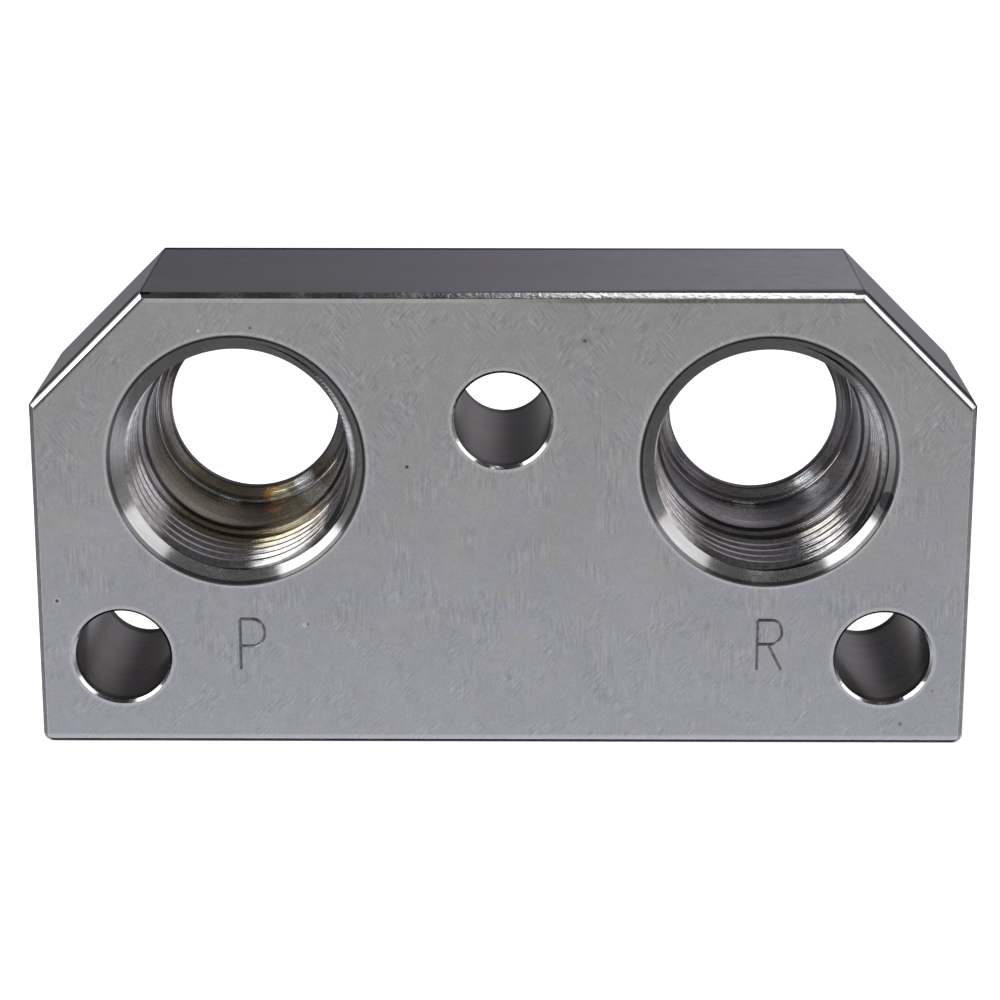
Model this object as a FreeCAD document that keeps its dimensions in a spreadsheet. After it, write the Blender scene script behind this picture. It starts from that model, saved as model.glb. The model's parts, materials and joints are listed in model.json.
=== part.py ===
import FreeCAD, Part
import math
import os
import Sketcher

# Ported end block of a stacked valve bank, machined from one piece of ground steel plate.
# It stands on its long bottom edge: X runs along the width, Y from the ported front face to
# the flat back face, Z up. The origin is the centre of the footprint, on the bottom edge.
# Lengths are in millimetres, angles in degrees.
SIZES = (
    ("width", 104.8, "plate, left to right"),
    ("height", 52.4, "plate, bottom to top"),
    ("depth", 25.4, "plate thickness, front face to back face"),
    ("shoulder", 12.7, "each leg of the two 45 degree cuts at the top corners"),
    ("corner_radius", 1.1, "rounding of the two bottom corners"),
    ("edge_break", 0.55, "45 degree edge break round the front and back outlines"),
    ("tie_hole_diameter", 10.7, "clearance hole for a 10 mm tie rod"),
    ("tie_hole_inset", 9.4, "axes of the two lower holes in from the sides"),
    ("tie_hole_rise", 10.4, "axes of the two lower holes above the bottom edge"),
    ("tie_hole_drop", 14.3, "axis of the upper hole below the top edge"),
    ("rim_break", 0.3, "deburred rim of each tie rod hole, both faces"),
    ("port_inset", 22.8, "axes of the two ports in from the sides"),
    ("port_drop", 19.1, "axes of the two ports below the top edge"),
    ("mouth_diameter", 28.8, "countersunk mouth of a port at the front face"),
    ("mouth_angle", 90.0, "included angle of the countersink"),
    ("tap_diameter", 24.8, "crest bore of the 27 mm port thread"),
    ("tap_depth", 13.0, "front face to the end of the thread"),
    ("bore_diameter", 23.2, "plain bore behind the thread"),
    ("point_angle", 118.0, "included angle of the drill point at the end of the plain bore"),
    ("lip_thickness", 1.2, "inner edge of the ring of metal left at the back face"),
    ("passage_diameter", 19.84, "opening through that ring"),
)

# How a sketch numbers a curve's points, its own two axes and its origin.
START, END, CENTRE = range(1, 4)
SIDEWAYS_AXIS, UPRIGHT_AXIS = range(-1, -3, -1)
ORIGIN_POINT = (SIDEWAYS_AXIS, START)

TOLERANCE = 1e-6


def fill_sheet(sheet):
    """Write each driving size, with its name and meaning, to one row of the sheet."""
    for row, (name, value, meaning) in enumerate(SIZES, start=1):
        sheet.set("A%d" % row, name)
        sheet.set("B%d" % row, str(value))
        sheet.setAlias("B%d" % row, name)
        sheet.set("C%d" % row, meaning)


def origin_plane(body, role):
    """Find one of the body's own origin planes."""
    return next(plane for plane in body.Origin.OriginFeatures if plane.Role == role)


def new_sketch(body, name, role):
    """Start a sketch on one of the body's own origin planes."""
    sketch = body.newObject("Sketcher::SketchObject", name)
    sketch.AttachmentSupport = [(origin_plane(body, role), "")]
    sketch.MapMode = "FlatFace"
    return sketch


def draw_loop(sketch, corners):
    """Draw a closed loop of straight lines through the corners; line i starts at corner i."""
    points = [FreeCAD.Vector(x, y, 0) for x, y in corners]
    for start, end in zip(points, points[1:] + points[:1]):
        sketch.addGeometry(Part.LineSegment(start, end), False)
    for line in range(len(points)):
        following = (line + 1) % len(points)
        sketch.addConstraint(Sketcher.Constraint("Coincident", line, END, following, START))


def drive(sketch, name, kind, *where, by):
    """Add a dimension and bind it to an expression on the sheet."""
    index = sketch.addConstraint(Sketcher.Constraint(kind, *where))
    sketch.renameConstraint(index, name)
    sketch.setExpression("Constraints." + name, by)


def edges_where(shape, test):
    """Names of the shape's edges that pass a test."""
    return ["Edge%d" % number for number, edge in enumerate(shape.Edges, start=1) if test(edge)]


def outline_of_plate(body, size):
    """Front view of the plate: a rectangle with its two top corners cut off."""
    sketch = new_sketch(body, "plate_outline", "XZ_Plane")
    half = size("width") / 2
    top = size("height")
    cut = size("shoulder")
    draw_loop(sketch, [(-half, 0), (half, 0), (half, top - cut), (half - cut, top),
                       (cut - half, top), (-half, top - cut)])
    bottom, right, right_cut, upper, left_cut, left = range(6)
    sketch.addConstraint(Sketcher.Constraint("PointOnObject", bottom, START, SIDEWAYS_AXIS))
    sketch.addConstraint(Sketcher.Constraint("Symmetric", bottom, START, bottom, END, UPRIGHT_AXIS))
    sketch.addConstraint(Sketcher.Constraint("Symmetric", upper, START, upper, END, UPRIGHT_AXIS))
    sketch.addConstraint(Sketcher.Constraint("Vertical", right))
    sketch.addConstraint(Sketcher.Constraint("Vertical", left))
    sketch.addConstraint(Sketcher.Constraint("Equal", right, left))
    drive(sketch, "width", "DistanceX", bottom, START, bottom, END, 2 * half, by="sizes.width")
    drive(sketch, "height", "DistanceY", right, START, right_cut, END, top, by="sizes.height")
    drive(sketch, "shoulder_run", "DistanceX", right_cut, END, right_cut, START, cut, by="sizes.shoulder")
    drive(sketch, "shoulder_drop", "DistanceY", left_cut, END, left_cut, START, cut, by="sizes.shoulder")
    return sketch


def port_section(body, size):
    """Half section of a port along its axis: mouth, thread, plain bore, drill point and passage."""
    sketch = new_sketch(body, "port_section", "YZ_Plane")
    sketch.setExpression(".AttachmentOffset.Base.y", "sizes.height - sizes.port_drop")
    sketch.setExpression(".AttachmentOffset.Base.z", "sizes.width / 2 - sizes.port_inset")
    front = -size("depth") / 2
    back = size("depth") / 2
    mouth = size("mouth_diameter") / 2
    tap = size("tap_diameter") / 2
    bore = size("bore_diameter") / 2
    passage = size("passage_diameter") / 2
    mouth_depth = (mouth - tap) / math.tan(math.radians(size("mouth_angle") / 2))
    tap_end = front + size("tap_depth")
    point_depth = (bore - passage) / math.tan(math.radians(size("point_angle") / 2))
    lip = back - size("lip_thickness")
    draw_loop(sketch, [(front, 0), (front, mouth), (front + mouth_depth, tap), (tap_end, tap),
                       (tap_end, bore), (lip - point_depth, bore), (lip, passage),
                       (back, passage), (back, 0)])
    front_edge, cone, thread, step, plain, point, opening, back_edge, axis = range(9)
    for line in (front_edge, step, back_edge):
        sketch.addConstraint(Sketcher.Constraint("Vertical", line))
    for line in (thread, plain, opening, axis):
        sketch.addConstraint(Sketcher.Constraint("Horizontal", line))
    sketch.addConstraint(Sketcher.Constraint("PointOnObject", front_edge, START, SIDEWAYS_AXIS))
    drive(sketch, "front_face", "DistanceX", *ORIGIN_POINT, front_edge, START, front, by="-sizes.depth / 2")
    drive(sketch, "back_face", "DistanceX", *ORIGIN_POINT, back_edge, END, back, by="sizes.depth / 2")
    drive(sketch, "mouth_radius", "DistanceY", *ORIGIN_POINT, cone, START, mouth,
          by="sizes.mouth_diameter / 2")
    drive(sketch, "mouth_depth", "DistanceX", cone, START, cone, END, mouth_depth,
          by="(sizes.mouth_diameter - sizes.tap_diameter) / 2 / tan(sizes.mouth_angle * 1 deg / 2)")
    drive(sketch, "tap_radius", "DistanceY", *ORIGIN_POINT, thread, START, tap,
          by="sizes.tap_diameter / 2")
    drive(sketch, "tap_depth", "DistanceX", front_edge, START, thread, END, size("tap_depth"),
          by="sizes.tap_depth")
    drive(sketch, "bore_radius", "DistanceY", *ORIGIN_POINT, plain, START, bore,
          by="sizes.bore_diameter / 2")
    drive(sketch, "point_depth", "DistanceX", point, START, point, END, point_depth,
          by="(sizes.bore_diameter - sizes.passage_diameter) / 2 / tan(sizes.point_angle * 1 deg / 2)")
    drive(sketch, "lip", "DistanceX", opening, START, opening, END, size("lip_thickness"),
          by="sizes.lip_thickness")
    drive(sketch, "passage_radius", "DistanceY", *ORIGIN_POINT, opening, START, passage,
          by="sizes.passage_diameter / 2")
    return sketch


def tie_hole_circles(body, size):
    """Three equal circles: two low at the sides, one higher on the middle line."""
    sketch = new_sketch(body, "tie_hole_circles", "XZ_Plane")
    radius = size("tie_hole_diameter") / 2
    side = size("width") / 2 - size("tie_hole_inset")
    low = size("tie_hole_rise")
    high = size("height") - size("tie_hole_drop")
    upright = FreeCAD.Vector(0, 0, 1)
    for x, z in ((-side, low), (side, low), (0, high)):
        sketch.addGeometry(Part.Circle(FreeCAD.Vector(x, z, 0), upright, radius), False)
    left, right, upper = range(3)
    sketch.addConstraint(Sketcher.Constraint("Symmetric", left, CENTRE, right, CENTRE, UPRIGHT_AXIS))
    sketch.addConstraint(Sketcher.Constraint("PointOnObject", upper, CENTRE, UPRIGHT_AXIS))
    sketch.addConstraint(Sketcher.Constraint("Equal", left, right))
    sketch.addConstraint(Sketcher.Constraint("Equal", left, upper))
    drive(sketch, "spacing", "DistanceX", left, CENTRE, right, CENTRE, 2 * side,
          by="sizes.width - 2 * sizes.tie_hole_inset")
    drive(sketch, "low", "DistanceY", *ORIGIN_POINT, right, CENTRE, low, by="sizes.tie_hole_rise")
    drive(sketch, "high", "DistanceY", *ORIGIN_POINT, upper, CENTRE, high,
          by="sizes.height - sizes.tie_hole_drop")
    drive(sketch, "diameter", "Diameter", left, 2 * radius, by="sizes.tie_hole_diameter")
    return sketch


def build_block(doc, sheet):
    """Machine the block: sawn plate, broken edges, two ports, three tie rod holes."""
    def size(name):
        return float(getattr(sheet, name))

    body = doc.addObject("PartDesign::Body", "Block")
    body.Label = "manifold_block"
    face = size("depth") / 2

    def on_a_face(edge):
        box = edge.BoundBox
        return box.YLength < TOLERANCE and abs(abs(box.YMin) - face) < TOLERANCE

    def at_a_bottom_corner(edge):
        box = edge.BoundBox
        return box.ZMax < TOLERANCE and box.XLength < TOLERANCE

    def tie_hole_rim(edge):
        return on_a_face(edge) and abs(edge.Curve.Radius - size("tie_hole_diameter") / 2) < TOLERANCE

    plate = body.newObject("PartDesign::Pad", "plate")
    plate.Profile = outline_of_plate(body, size)
    plate.SideType = "Symmetric"
    plate.setExpression("Length", "sizes.depth")
    doc.recompute()

    corners = body.newObject("PartDesign::Fillet", "bottom_corners")
    corners.Base = (plate, edges_where(plate.Shape, at_a_bottom_corner))
    corners.setExpression("Radius", "sizes.corner_radius")
    doc.recompute()

    broken = body.newObject("PartDesign::Chamfer", "broken_edges")
    broken.Base = (corners, edges_where(corners.Shape, on_a_face))
    broken.setExpression("Size", "sizes.edge_break")
    doc.recompute()

    section = port_section(body, size)
    port = body.newObject("PartDesign::Groove", "port")
    port.Profile = section
    port.ReferenceAxis = (section, ["H_Axis"])
    port.Angle = 360
    doc.recompute()

    both_ports = body.newObject("PartDesign::Mirrored", "both_ports")
    both_ports.Originals = [port]
    both_ports.MirrorPlane = (origin_plane(body, "YZ_Plane"), [""])
    body.Tip = both_ports
    doc.recompute()

    tie_holes = body.newObject("PartDesign::Pocket", "tie_holes")
    tie_holes.Profile = tie_hole_circles(body, size)
    tie_holes.Type = "ThroughAll"
    tie_holes.SideType = "Symmetric"
    doc.recompute()

    rims = body.newObject("PartDesign::Chamfer", "deburred_rims")
    rims.Base = (tie_holes, edges_where(tie_holes.Shape, lambda edge: edge.Closed and tie_hole_rim(edge)))
    rims.setExpression("Size", "sizes.rim_break")
    doc.recompute()
    return body


def check(doc, body):
    """Stop if a feature failed or a cut took away nothing."""
    for item in doc.Objects:
        if "Invalid" in item.State or "Error" in item.State:
            raise RuntimeError(item.Name + " failed")
    if body.Shape.isNull() or not body.Shape.isValid():
        raise RuntimeError(body.Label + " has no valid shape")
    cuts = ("plate", "broken_edges", "port", "both_ports", "tie_holes", "deburred_rims")
    volumes = [doc.getObject(name).Shape.Volume for name in cuts]
    if any(after >= before for before, after in zip(volumes, volumes[1:])):
        raise RuntimeError("a cut took nothing away")


def main():
    doc = FreeCAD.newDocument("ManifoldBlock")
    sheet = doc.addObject("Spreadsheet::Sheet", "sizes")
    fill_sheet(sheet)
    doc.recompute()
    body = build_block(doc, sheet)
    check(doc, body)
    os.makedirs("parts", exist_ok=True)
    body.Shape.exportStep(os.path.join("parts", body.Label + ".step"))
    box = body.Shape.BoundBox
    print("%s: %.1f mm3, %.2f x %.2f x %.2f mm"
          % (body.Label, body.Shape.Volume, box.XLength, box.YLength, box.ZLength))


main()
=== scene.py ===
"""Looks of a ported steel end block that closes a stacked valve bank.

The block is one piece of ground steel plate with two threaded ports, three tie rod holes and two
stamped port letters. Everything is in metres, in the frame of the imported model: X to the right
seen from the ported front, Y from the front face to the back face, Z up.
"""

import json
import logging
import math
from collections.abc import Sequence
from dataclasses import dataclass, field
from enum import Enum
from itertools import zip_longest

import bmesh
import bpy
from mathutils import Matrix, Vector


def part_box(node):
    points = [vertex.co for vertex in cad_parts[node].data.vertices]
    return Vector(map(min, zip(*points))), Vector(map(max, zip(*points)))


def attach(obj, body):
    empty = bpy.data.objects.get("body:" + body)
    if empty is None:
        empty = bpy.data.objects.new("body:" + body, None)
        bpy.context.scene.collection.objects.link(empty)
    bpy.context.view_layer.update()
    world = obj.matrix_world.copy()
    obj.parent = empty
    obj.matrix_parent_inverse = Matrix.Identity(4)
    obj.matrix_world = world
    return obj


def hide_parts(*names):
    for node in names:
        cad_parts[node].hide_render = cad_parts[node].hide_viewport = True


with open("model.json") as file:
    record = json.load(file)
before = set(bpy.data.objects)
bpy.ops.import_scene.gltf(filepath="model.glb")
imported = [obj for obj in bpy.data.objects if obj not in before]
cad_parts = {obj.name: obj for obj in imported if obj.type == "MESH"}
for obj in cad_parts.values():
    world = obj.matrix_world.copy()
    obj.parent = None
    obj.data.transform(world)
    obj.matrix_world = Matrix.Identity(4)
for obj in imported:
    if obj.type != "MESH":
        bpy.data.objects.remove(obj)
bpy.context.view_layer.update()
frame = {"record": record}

LOG = logging.getLogger("end_block")
MM = 0.001
NODE = "manifold_block"

Point = tuple[float, float]
Loop = list[Vector]
Colour = tuple[float, float, float]

WHITE: Colour = (1.0, 1.0, 1.0)
# colour of the dark matte layer that paints shade on the steel
SHADE_BLACK: Colour = (0.01, 0.01, 0.012)


class Finish(Enum):
    """The surfaces of the block, each with its own tool marks."""

    GROUND = "ground_face"
    EDGE = "broken_edge"
    MILLED = "milled_side"
    COUNTERSUNK = "countersunk_mouth"
    TAPPED = "tapped_thread"
    BORED = "bored_wall"
    WORN = "worn_corner"
    DRILLED = "drilled_hole"
    STAMPED = "stamped_groove"


@dataclass(frozen=True)
class Solid:
    """A closed solid: a row of rings with equally many points, and a cap at both ends.

    Args:
        rings: the rings, in order along the solid.
        finishes: the finish of each stretch between two rings.
        caps: the finish of the two caps.
    """

    rings: Sequence[Loop]
    finishes: Sequence[Finish]
    caps: Finish

    def add_to(self, shape: bmesh.types.BMesh) -> None:
        """Add the solid's faces, turned outwards, to a mesh.

        Args:
            shape: the mesh that is being built.
        """
        order = list(Finish)
        rows = [[shape.verts.new(point) for point in ring] for ring in self.rings]
        faces = []
        for row, following, finish in zip(rows, rows[1:], self.finishes):
            for side, corner in enumerate(row):
                face = shape.faces.new((row[side - 1], corner, following[side], following[side - 1]))
                face.material_index = order.index(finish)
                faces.append(face)
        for row in (rows[0], rows[-1]):
            face = shape.faces.new(row)
            face.material_index = order.index(self.caps)
            faces.append(face)
        bmesh.ops.recalc_face_normals(shape, faces=faces)


def with_round_corners(corners: Sequence[Point], radii: Sequence[float], steps: int) -> list[Point]:
    """Round the corners of a closed outline.

    Args:
        corners: the outline's sharp corners, in order.
        radii: one radius for each corner.
        steps: straight pieces in each rounded corner.

    Returns:
        The outline's points, steps + 1 of them for each corner.
    """
    points: list[Point] = []
    for number, (corner, radius) in enumerate(zip(corners, radii)):
        here = Vector(corner)
        back = (Vector(corners[number - 1]) - here).normalized()
        ahead = (Vector(corners[(number + 1) % len(corners)]) - here).normalized()
        half = back.angle(ahead) / 2
        centre = here + (back + ahead).normalized() * radius / math.sin(half)
        start = here + back * radius / math.tan(half) - centre
        end = here + ahead * radius / math.tan(half) - centre
        turn = start.angle(end)
        for step in range(steps + 1):
            share = step / steps
            arm = (start * math.sin((1 - share) * turn) + end * math.sin(share * turn)) / math.sin(turn)
            points.append(tuple(centre + arm))
    return points


@dataclass
class Plate:
    """The ground plate before any hole is cut: an outline with two cut shoulders.

    Args:
        low: lowest corner of the plate's box.
        high: highest corner of the plate's box.
        shoulder: each leg of the two 45 degree cuts at the top.
        corner_radius: rounding of the two bottom corners.
        crest_radius: slight rounding of the four blunt corners at the shoulders.
        edge_break: 45 degree break round the front and back outlines.
        softness: rounding where the break meets the faces.
        steps: straight pieces in each rounded corner.
    """

    low: Vector
    high: Vector
    shoulder: float = 12.7 * MM
    corner_radius: float = 1.1 * MM
    crest_radius: float = 0.15 * MM
    edge_break: float = 0.55 * MM
    softness: float = 0.16 * MM
    steps: int = 8

    def outline(self, inset: float) -> list[Point]:
        """Give the front view of the plate.

        Args:
            inset: how far it is pulled in all round.

        Returns:
            The outline's points.
        """
        left, right = self.low.x + inset, self.high.x - inset
        bottom, top = self.low.z + inset, self.high.z - inset
        leg = self.shoulder - inset * (2 - math.sqrt(2))
        corners = [(left, bottom), (right, bottom), (right, top - leg), (right - leg, top),
                   (left + leg, top), (left, top - leg)]
        least = self.crest_radius / 5
        radii = [max(self.corner_radius - inset, least)] * 2 + [max(self.crest_radius - inset, least)] * 4
        return with_round_corners(corners, radii, self.steps)

    def edge_section(self) -> list[Point]:
        """Give the section of the broken edge.

        Returns:
            Pairs of inset and depth from the face, from the face outwards.
        """
        reach = self.softness * math.tan(math.pi / 8)
        slant = reach / math.sqrt(2)
        size = self.edge_break
        return [(size + reach, 0.0), (size, slant / 4), (size - slant, slant),
                (slant, size - slant), (slant / 4, size), (0.0, size + reach)]

    def solid(self) -> Solid:
        """Build the plate.

        Returns:
            The plate, with its rings in order from the front face to the back face.
        """
        section = self.edge_section()
        stations = [(inset, self.low.y + depth) for inset, depth in section]
        stations += [(inset, self.high.y - depth) for inset, depth in reversed(section)]
        rings = [[Vector((x, y, z)) for x, z in self.outline(inset)] for inset, y in stations]
        edge = [Finish.EDGE] * (len(section) - 1)
        return Solid(rings, [*edge, Finish.MILLED, *edge], Finish.GROUND)


@dataclass
class TurnedHole:
    """A hole turned about an axis that runs from the front face to the back face.

    Args:
        axis: where the axis meets the front face.
        segments: straight pieces round the hole.
        over: how far the tools reach past the faces.
    """

    axis: Vector
    segments: int = 160
    over: float = 1.0 * MM

    def place(self, angle: float, radius: float, depth: float) -> Vector:
        """Give the point at an angle and radius about the axis, at a depth behind the front face."""
        return self.axis + Vector((radius * math.cos(angle), depth, radius * math.sin(angle)))

    def turned(self, section: Sequence[Point], finishes: Sequence[Finish]) -> Solid:
        """Turn a section about the axis.

        Args:
            section: pairs of radius and depth behind the front face, from the front to the back.
            finishes: the finish between each pair and the next.

        Returns:
            The solid that the tool takes out.
        """
        angles = [math.tau * step / self.segments for step in range(self.segments)]
        rings = [[self.place(angle, radius, depth) for angle in angles] for radius, depth in section]
        return Solid(rings, finishes, finishes[0])


@dataclass
class Port(TurnedHole):
    """One threaded port: countersunk mouth, thread, step, bore with its drill cone, and passage.

    Args:
        crest: radius of the thread's crests, which is the bore that is tapped.
        thickness: the plate, front face to back face.
        mouth: radius of the countersunk mouth at the front face.
        tap_depth: front face to the end of the tapped bore.
        bore: radius of the plain bore behind the thread.
        passage: radius of the opening in the lip.
        lip: thickness of the lip's inner edge at the back face.
        step_slope: how far along the axis the worn step behind the thread runs.
        point_angle: included angle, in degrees, of the drill point that ends the plain bore.
        point_corner: rounding of the drill point's worn corner.
        rim: depth of the fine break where the countersink meets the front face.
        pitch: from one turn of the thread to the next.
        root: radius of the thread's roots.
        root_flat: width of the flat at the root.
        flank: degrees between a flank of the groove and a plane square to the axis.
        first_turn: depth of the groove's middle where it first crosses the port's right side.
        thread_end: depth of the groove's middle where the last turn has faded out.
        fade: part of a turn over which the last turn grows shallow.
        last_cut: the share of the groove's depth that is left where it ends.
        last_flat: the share of the root's flat that is left there.
    """

    crest: float = 12.4 * MM
    thickness: float = 25.4 * MM
    mouth: float = 14.4 * MM
    tap_depth: float = 13.0 * MM
    bore: float = 11.6 * MM
    passage: float = 9.92 * MM
    lip: float = 1.2 * MM
    step_slope: float = 0.4 * MM
    point_angle: float = 118.0
    point_corner: float = 0.5 * MM
    rim: float = 0.06 * MM
    pitch: float = 25.4 / 12 * MM
    root: float = 13.5 * MM
    root_flat: float = 0.26 * MM
    flank: float = 30.0
    first_turn: float = 1.24 * MM
    thread_end: float = 12.55 * MM
    fade: float = 0.6
    last_cut: float = 0.02
    last_flat: float = 0.1

    def wall(self) -> Solid:
        """Build the bored and countersunk hole, without its thread.

        Returns:
            The solid that the tools take out.
        """
        # the rim's slope lies halfway between the countersink's and the face's
        rim_reach = self.rim * math.tan(math.radians((45 + 90) / 2))
        corner = self.drill_corner()
        section = [
            (self.mouth + rim_reach * (1 + self.over / self.rim), -self.over),
            (self.mouth - self.rim, self.rim),
            (self.crest, self.mouth - self.crest),
            (self.crest, self.tap_depth - self.step_slope / 2),
            (self.bore, self.tap_depth + self.step_slope / 2),
            *corner,
            (self.passage, self.thickness - self.lip),
            (self.passage, self.thickness + self.over),
        ]
        return self.turned(section, [*[Finish.COUNTERSUNK] * 2, Finish.TAPPED, *[Finish.BORED] * 2,
                                     *[Finish.WORN] * (len(corner) - 1), *[Finish.BORED] * 2])

    def drill_corner(self, steps: int = 4) -> list[Point]:
        """Give the worn corner between the plain bore and the cone that the drill point left.

        Args:
            steps: straight pieces in the corner.

        Returns:
            Pairs of radius and depth behind the front face.
        """
        size, turn = self.point_corner, math.radians(self.point_angle / 2)
        corner = self.thickness - self.lip - (self.bore - self.passage) / math.tan(turn)
        radius, depth = self.bore - size, corner - size * math.tan(turn / 2)
        angles = [turn * step / steps for step in range(steps + 1)]
        return [(radius + size * math.cos(angle), depth + size * math.sin(angle)) for angle in angles]

    def thread(self) -> Solid:
        """Build the groove that winds round the bore, clockwise as it goes deeper.

        Returns:
            The solid that the tap takes out.
        """
        start = -self.over
        length = self.thread_end - start
        count = math.ceil(length / self.pitch * self.segments)
        inner = self.crest - self.over / 4
        slope = math.tan(math.radians(self.flank))
        rings = []
        for step in range(count + 1):
            depth = start + length * step / count
            angle = -(depth - self.first_turn) / self.pitch * math.tau
            left = (self.thread_end - depth) / (self.pitch * self.fade)
            reach = inner + (self.root - inner) * min(1.0, self.last_cut + left)
            flat = self.root_flat / 2 * min(1.0, self.last_flat + left)
            base = flat + (reach - inner) * slope
            corners = ((inner, -base), (reach, -flat), (reach, flat), (inner, base))
            rings.append([self.place(angle, radius, depth + offset) for radius, offset in corners])
        return Solid(rings, [Finish.TAPPED] * count, Finish.TAPPED)


@dataclass
class TieHole(TurnedHole):
    """A clearance hole for a tie rod, with a deburred rim at both faces.

    Args:
        radius: the hole's radius.
        thickness: the plate, front face to back face.
        rim: size of the 45 degree rim.
    """

    radius: float = 5.35 * MM
    thickness: float = 25.4 * MM
    rim: float = 0.3 * MM

    def wall(self) -> Solid:
        """Build the hole with its two rims.

        Returns:
            The solid that the tools take out.
        """
        wide = self.radius + self.rim + self.over
        section = [(wide, -self.over), (self.radius, self.rim),
                   (self.radius, self.thickness - self.rim), (wide, self.thickness + self.over)]
        return self.turned(section, [Finish.EDGE, Finish.DRILLED, Finish.EDGE])


@dataclass
class PortLetter:
    """A plain letter stamped beside a port with straight and round chisel strokes.

    Args:
        letter: P or R.
        foot: the lower end of the letter's stem, on the front face.
        waist: height of the bowl's lower end, as a share of the letter's height.
        height: the letter's height.
        width: the letter's width.
        groove: width of a stroke at the face.
        depth: depth of a stroke.
        rise: height of the tool above the stroke's bottom, as a multiple of the depth.
        roundness: the bowl's reach to the right, as a share of its half height.
        leg_start: where an R's leg leaves the bowl's lower line, as a share of its straight part.
        turns: straight pieces in the bowl.
    """

    letter: str
    foot: Vector
    waist: float
    height: float = 5.95 * MM
    width: float = 2.75 * MM
    groove: float = 0.36 * MM
    depth: float = 0.12 * MM
    rise: float = 1.6
    roundness: float = 0.8
    leg_start: float = 0.75
    turns: int = 12

    def strokes(self) -> list[list[Point]]:
        """Give the strokes of the letter.

        Returns:
            The points of each stroke, right of and above the foot.
        """
        waist = self.height * self.waist
        bow = (self.height - waist) / 2
        bulge = bow * self.roundness
        shoulder = self.width - bulge
        angles = [math.pi / 2 - math.pi * step / self.turns for step in range(self.turns + 1)]
        arc = [(shoulder + bulge * math.cos(angle), waist + bow + bow * math.sin(angle)) for angle in angles]
        stem = [(0.0, 0.0), (0.0, self.height)]
        bowl = [(0.0, self.height), *arc, (0.0, waist)]
        leg = [(shoulder * self.leg_start, waist), (self.width, 0.0)]
        return {"P": [stem, bowl], "R": [stem, bowl, leg]}[self.letter]

    def groove_solid(self, stroke: Sequence[Point], sharpest: float = 0.5) -> Solid:
        """Build the three-sided groove of one stroke.

        Args:
            stroke: its points, right of and above the foot.
            sharpest: the least share of its width to which a bend is taken into account.

        Returns:
            The solid that the stamp presses in.
        """
        points = [Vector(point) for point in stroke]
        rings = []
        for number, point in enumerate(points):
            before = points[max(number - 1, 0)]
            after = points[min(number + 1, len(points) - 1)]
            back = (point - before).normalized() if number else (after - point).normalized()
            ahead = (after - point).normalized() if after != point else back
            along = (back + ahead).normalized()
            reach = self.groove / 2 * self.rise / max(along.dot(back), sharpest)
            side = Vector((-along.y, 0.0, along.x)) * reach
            bottom = self.foot + Vector((point.x, self.depth, point.y))
            front = bottom - Vector((0.0, self.depth * self.rise, 0.0))
            rings.append([front - side, bottom, front + side])
        return Solid(rings, [Finish.STAMPED] * (len(rings) - 1), Finish.STAMPED)


@dataclass
class Workpiece:
    """The steel on the machine: each cut takes solids out of it.

    Args:
        name: the piece's name in the scene.
        blank: the uncut plate.
        palette: the material of each finish.
    """

    name: str
    blank: Solid
    palette: dict[Finish, bpy.types.Material]
    body: bpy.types.Object = field(init=False)

    def __post_init__(self) -> None:
        """Put the blank in the scene."""
        self.body = self.to_object(self.name, [self.blank])

    def to_object(self, name: str, solids: Sequence[Solid]) -> bpy.types.Object:
        """Make one object of some solids.

        Args:
            name: the object's name.
            solids: solids that don't touch each other.

        Returns:
            The object, with the palette's materials.
        """
        shape = bmesh.new()
        for solid in solids:
            solid.add_to(shape)
        mesh = bpy.data.meshes.new(name)
        shape.to_mesh(mesh)
        shape.free()
        for finish in Finish:
            mesh.materials.append(self.palette[finish])
        made = bpy.data.objects.new(name, mesh)
        bpy.context.scene.collection.objects.link(made)
        return made

    def bake_modifiers(self) -> None:
        """Replace the body's mesh by what its modifiers make of it."""
        graph = bpy.context.evaluated_depsgraph_get()
        self.body.data = bpy.data.meshes.new_from_object(self.body.evaluated_get(graph), depsgraph=graph)
        self.body.modifiers.clear()

    def cut(self, solids: Sequence[Solid]) -> None:
        """Cut solids out of the body.

        Args:
            solids: solids that don't touch each other.
        """
        tool = self.to_object("tool", solids)
        modifier = self.body.modifiers.new("cut", "BOOLEAN")
        modifier.operation = "DIFFERENCE"
        modifier.solver = "EXACT"
        modifier.material_mode = "TRANSFER"
        modifier.object = tool
        self.bake_modifiers()
        bpy.data.objects.remove(tool)

    def shade(self, smooth_below: float = math.radians(20)) -> None:
        """Shade round surfaces smoothly and keep flats flat and edges crisp.

        Args:
            smooth_below: the widest angle between two faces that are shaded as one surface.
        """
        mesh = self.body.data
        mesh.polygons.foreach_set("use_smooth", [True] * len(mesh.polygons))
        mesh.set_sharp_from_angle(angle=smooth_below)
        modifier = self.body.modifiers.new("flats", "WEIGHTED_NORMAL")
        modifier.keep_sharp = True
        self.bake_modifiers()


@dataclass(frozen=True)
class BlockPlan:
    """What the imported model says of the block: its box and its holes.

    Args:
        low: lowest corner of the block's box.
        high: highest corner of the block's box.
        mounts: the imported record's mounts by name, with each hole's place and radius.
    """

    low: Vector
    high: Vector
    mounts: dict[str, dict]

    def on_front(self, name: str) -> Vector:
        """Give the point where a mount's axis meets the front face."""
        across, _, up = self.mounts[name]["pos_m"]
        return Vector((across, self.low.y, up))

    def radius(self, name: str) -> float:
        """Give a mount's radius."""
        return self.mounts[name]["dims"]["r_mm"] * MM


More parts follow.
